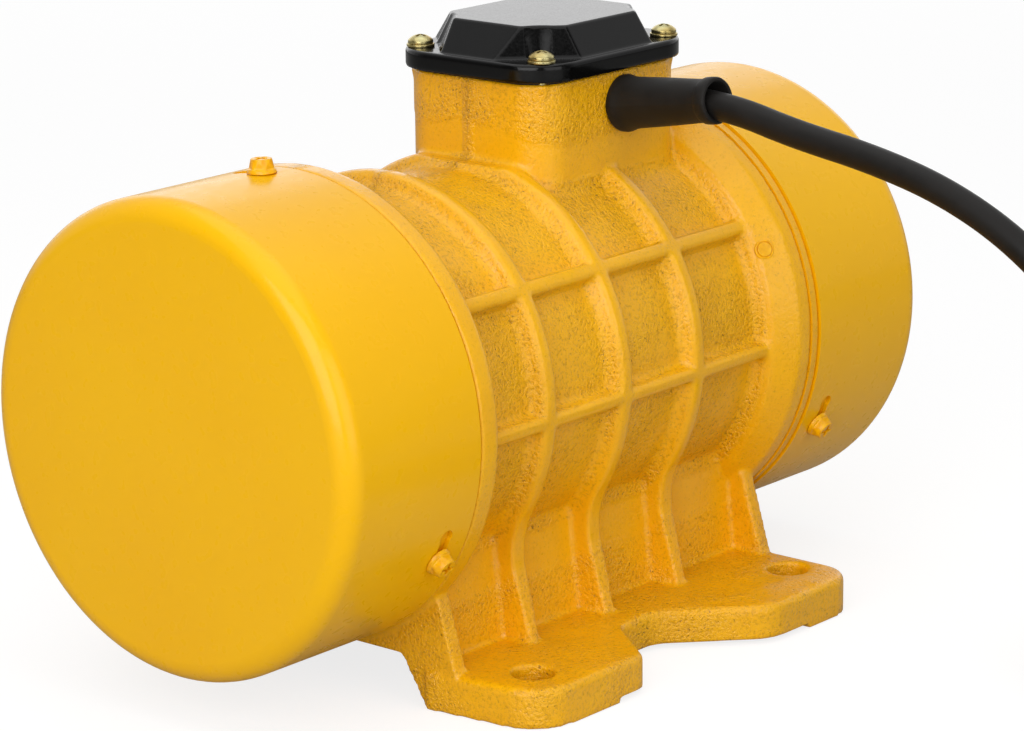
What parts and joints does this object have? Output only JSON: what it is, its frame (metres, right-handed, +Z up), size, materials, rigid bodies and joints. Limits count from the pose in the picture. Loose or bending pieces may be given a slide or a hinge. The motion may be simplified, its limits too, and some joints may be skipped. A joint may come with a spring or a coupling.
{
  "type": "vibration motor",
  "caption": "Foot-mounted electric vibration motor: ribbed cast body, cylindrical end covers over eccentric weights, terminal box with cable and plug.",
  "frame": {"origin": "on the mounting plane under the feet, midway between the four foot holes and under the shaft", "axes": "+Z up, +X along the shaft towards the end beside the terminal box, -Y on the cable's side"},
  "size_m": [0.3429, 0.4425, 0.2235],
  "materials": {
    "cast_enamel": "sand-cast iron under thick yellow enamel, grainy gloss",
    "sheet_enamel": "drawn steel sheet under smooth yellow enamel, gloss",
    "painted_screws": "steel screws painted over with the body, gloss",
    "zinc_screws": "yellow-passivated zinc plate",
    "lid_plastic": "moulded black ABS, gloss",
    "black_rubber": "moulded black rubber, satin",
    "cord_sheath": "black rubber sheath, satin",
    "plug_plastic": "moulded black PVC",
    "machined_steel": "turned and ground steel",
    "weight_iron": "grey iron, machined faces",
    "lamination_steel": "stacked electrical steel, varnished",
    "copper_wire": "varnished copper wire, tied",
    "cast_aluminium": "pressure-cast aluminium",
    "brass": "turned brass",
    "bakelite": "moulded phenolic",
    "capacitor_shell": "moulded white shell"
  },
  "bodies": {
    "motor": {"housing": "cast_enamel", "end_shield_near": "cast_enamel", "end_shield_far": "cast_enamel", "locking_pin": "painted_screws", "cap_screws": "painted_screws", "end_cap_near": "sheet_enamel", "end_cap_far": "sheet_enamel", "end_shield_bolts": "machined_steel", "bearing_cover_near": "cast_enamel", "bearing_cover_far": "cast_enamel", "bearing_cover_screws": "machined_steel", "shaft_seals": "black_rubber", "bearing_outer_ring_near": "machined_steel", "bearing_outer_ring_far": "machined_steel", "stator_core": "lamination_steel", "stator_windings": "copper_wire", "cap_seals": "black_rubber", "terminal_box_lid": "lid_plastic", "lid_gasket": "black_rubber", "lid_screws": "zinc_screws", "lid_washers": "zinc_screws", "terminal_block": "bakelite", "terminal_studs": "brass", "run_capacitor": "capacitor_shell", "capacitor_clip": "machined_steel", "earth_screw": "brass", "wiring_grommet": "black_rubber", "cable_boot": "black_rubber", "cable_inner": "cord_sheath", "cable_clamp": "bakelite", "cable_clamp_screws": "machined_steel", "power_cord": "cord_sheath", "power_cord_tail": "cord_sheath", "cord_coil": "cord_sheath", "plug_body": "plug_plastic", "plug_blades": "brass"},
    "rotor": {"shaft": "machined_steel", "rotor_core": "lamination_steel", "rotor_cage": "cast_aluminium", "bearing_inner_rings": "machined_steel", "spacer_sleeves": "machined_steel", "weight_discs": "machined_steel", "weight_keys": "machined_steel", "retaining_rings": "machined_steel", "fixed_weight_near": "weight_iron", "fixed_weight_far": "weight_iron"},
    "roller_cage_near": {"bearing_cage_near": "brass", "bearing_rollers_near": "machined_steel"},
    "roller_cage_far": {"bearing_cage_far": "brass", "bearing_rollers_far": "machined_steel"},
    "set_weight_near": {"adjustable_weight_near": "weight_iron", "clamp_bolt_near": "machined_steel"},
    "set_weight_far": {"adjustable_weight_far": "weight_iron", "clamp_bolt_far": "machined_steel"}
  },
  "joints": [
    {"name": "rotor_spin", "type": "hinge", "parent": "motor", "child": "rotor", "pos_m": [0, 0, 0.1015], "axis": [1, 0, 0], "continuous": true},
    {"name": "roller_cage_near_turn", "type": "hinge", "parent": "motor", "child": "roller_cage_near", "pos_m": [-0.0815, 0, 0.1015], "axis": [1, 0, 0], "continuous": true},
    {"name": "roller_cage_far_turn", "type": "hinge", "parent": "motor", "child": "roller_cage_far", "pos_m": [0.0815, 0, 0.1015], "axis": [1, 0, 0], "continuous": true},
    {"name": "set_weight_near_turn", "type": "hinge", "parent": "rotor", "child": "set_weight_near", "pos_m": [-0.1408, 0, 0.1015], "axis": [1, 0, 0], "range_deg": [0, 180]},
    {"name": "set_weight_far_turn", "type": "hinge", "parent": "rotor", "child": "set_weight_far", "pos_m": [0.1408, 0, 0.1015], "axis": [1, 0, 0], "range_deg": [0, 180]}
  ],
  "couplings": [
    {"joint": "roller_cage_near_turn", "follows": "rotor_spin", "ratio": 0.4},
    {"joint": "roller_cage_far_turn", "follows": "rotor_spin", "ratio": 0.4}
  ]
}
